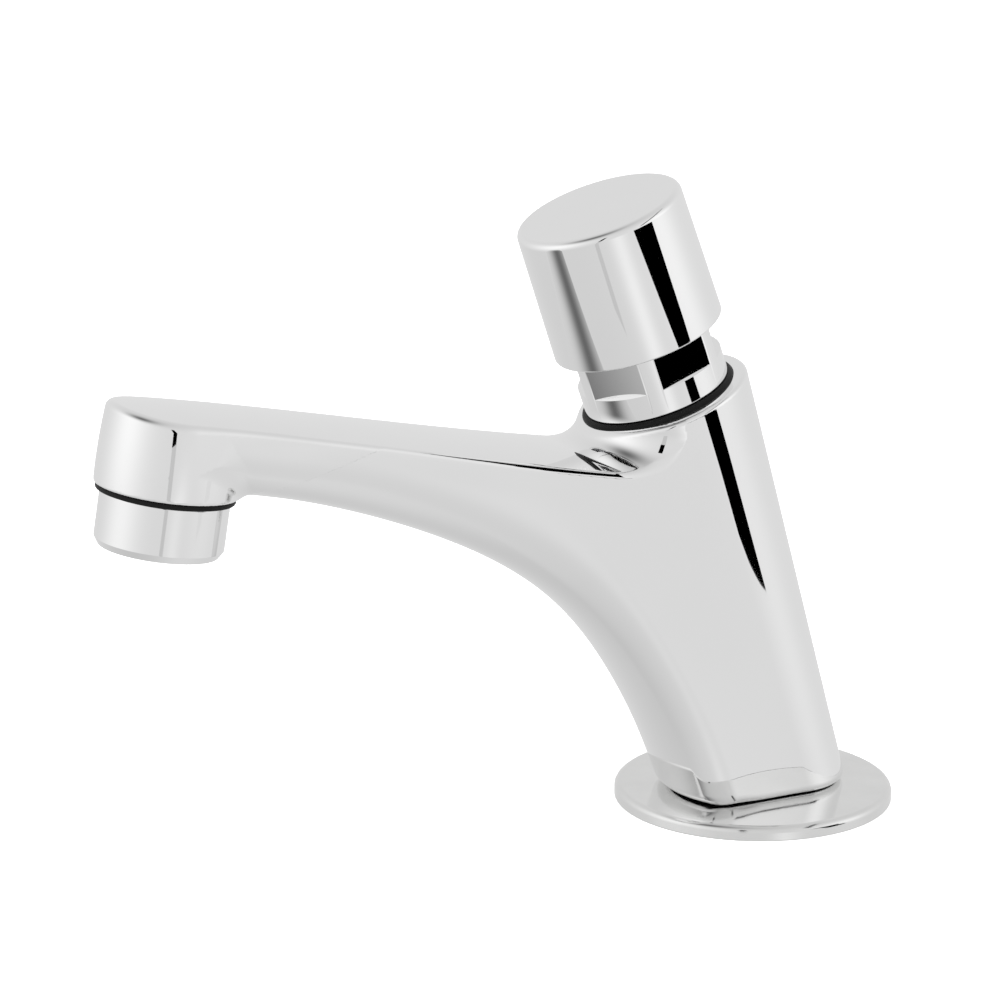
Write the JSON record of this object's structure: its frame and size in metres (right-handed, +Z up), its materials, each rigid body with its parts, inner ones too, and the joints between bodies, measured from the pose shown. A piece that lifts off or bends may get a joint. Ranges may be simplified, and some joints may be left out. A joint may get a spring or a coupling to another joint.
{
  "type": "push timed tap",
  "caption": "Deck-mounted self-closing basin tap: a push button on a leaning column opens a timed valve, and water leaves through an aerator under the spout's head.",
  "frame": {"origin": "centre of the flange's underside, on the deck, on the tail's axis", "axes": "+Z up, the spout points to -Y, X across"},
  "size_m": [0.055, 0.1622, 0.1782],
  "materials": {
    "cast_chrome": "polished",
    "button_chrome": "polished",
    "turned_chrome": "polished",
    "satin_steel": "satin",
    "black_rubber": "matt",
    "raw_brass": "machined",
    "stainless": "turned",
    "spring_steel": "bright",
    "white_plastic": "moulded",
    "grey_plastic": "moulded"
  },
  "bodies": {
    "body": {"aerator_gasket": "black_rubber", "aerator_housing": "turned_chrome", "aerator_insert": "grey_plastic", "aerator_screen": "stainless", "back_nut": "raw_brass", "base_flange": "satin_steel", "bonnet": "turned_chrome", "bonnet_oring": "black_rubber", "cartridge_sleeve": "raw_brass", "clamp_washer": "stainless", "deck_washer": "black_rubber", "flange_gasket": "black_rubber", "flow_regulator": "grey_plastic", "guide_bush": "white_plastic", "inlet_filter": "white_plastic", "inlet_shank": "raw_brass", "return_spring": "spring_steel", "seat_ring": "stainless", "shank_oring": "black_rubber", "sleeve_oring": "black_rubber", "spout_washer": "black_rubber", "stem_seal": "black_rubber", "tap_body": "cast_chrome", "timing_pin": "stainless"},
    "plunger": {"push_button": "button_chrome", "button_insert": "white_plastic", "button_ring": "spring_steel", "stem": "stainless", "stem_clip": "spring_steel", "piston": "white_plastic", "lip_seal": "black_rubber", "piston_clip": "spring_steel", "valve_cup": "raw_brass", "valve_washer": "black_rubber", "valve_nut": "raw_brass"}
  },
  "joints": [
    {"name": "button_press", "type": "slide", "parent": "body", "child": "plunger", "axis": [0, 0.3313, -0.9435], "range_m": [0, 0.007], "stiffness_N_per_m": 1500, "springref_m": -0.006, "deforming": ["return_spring"]}
  ]
}
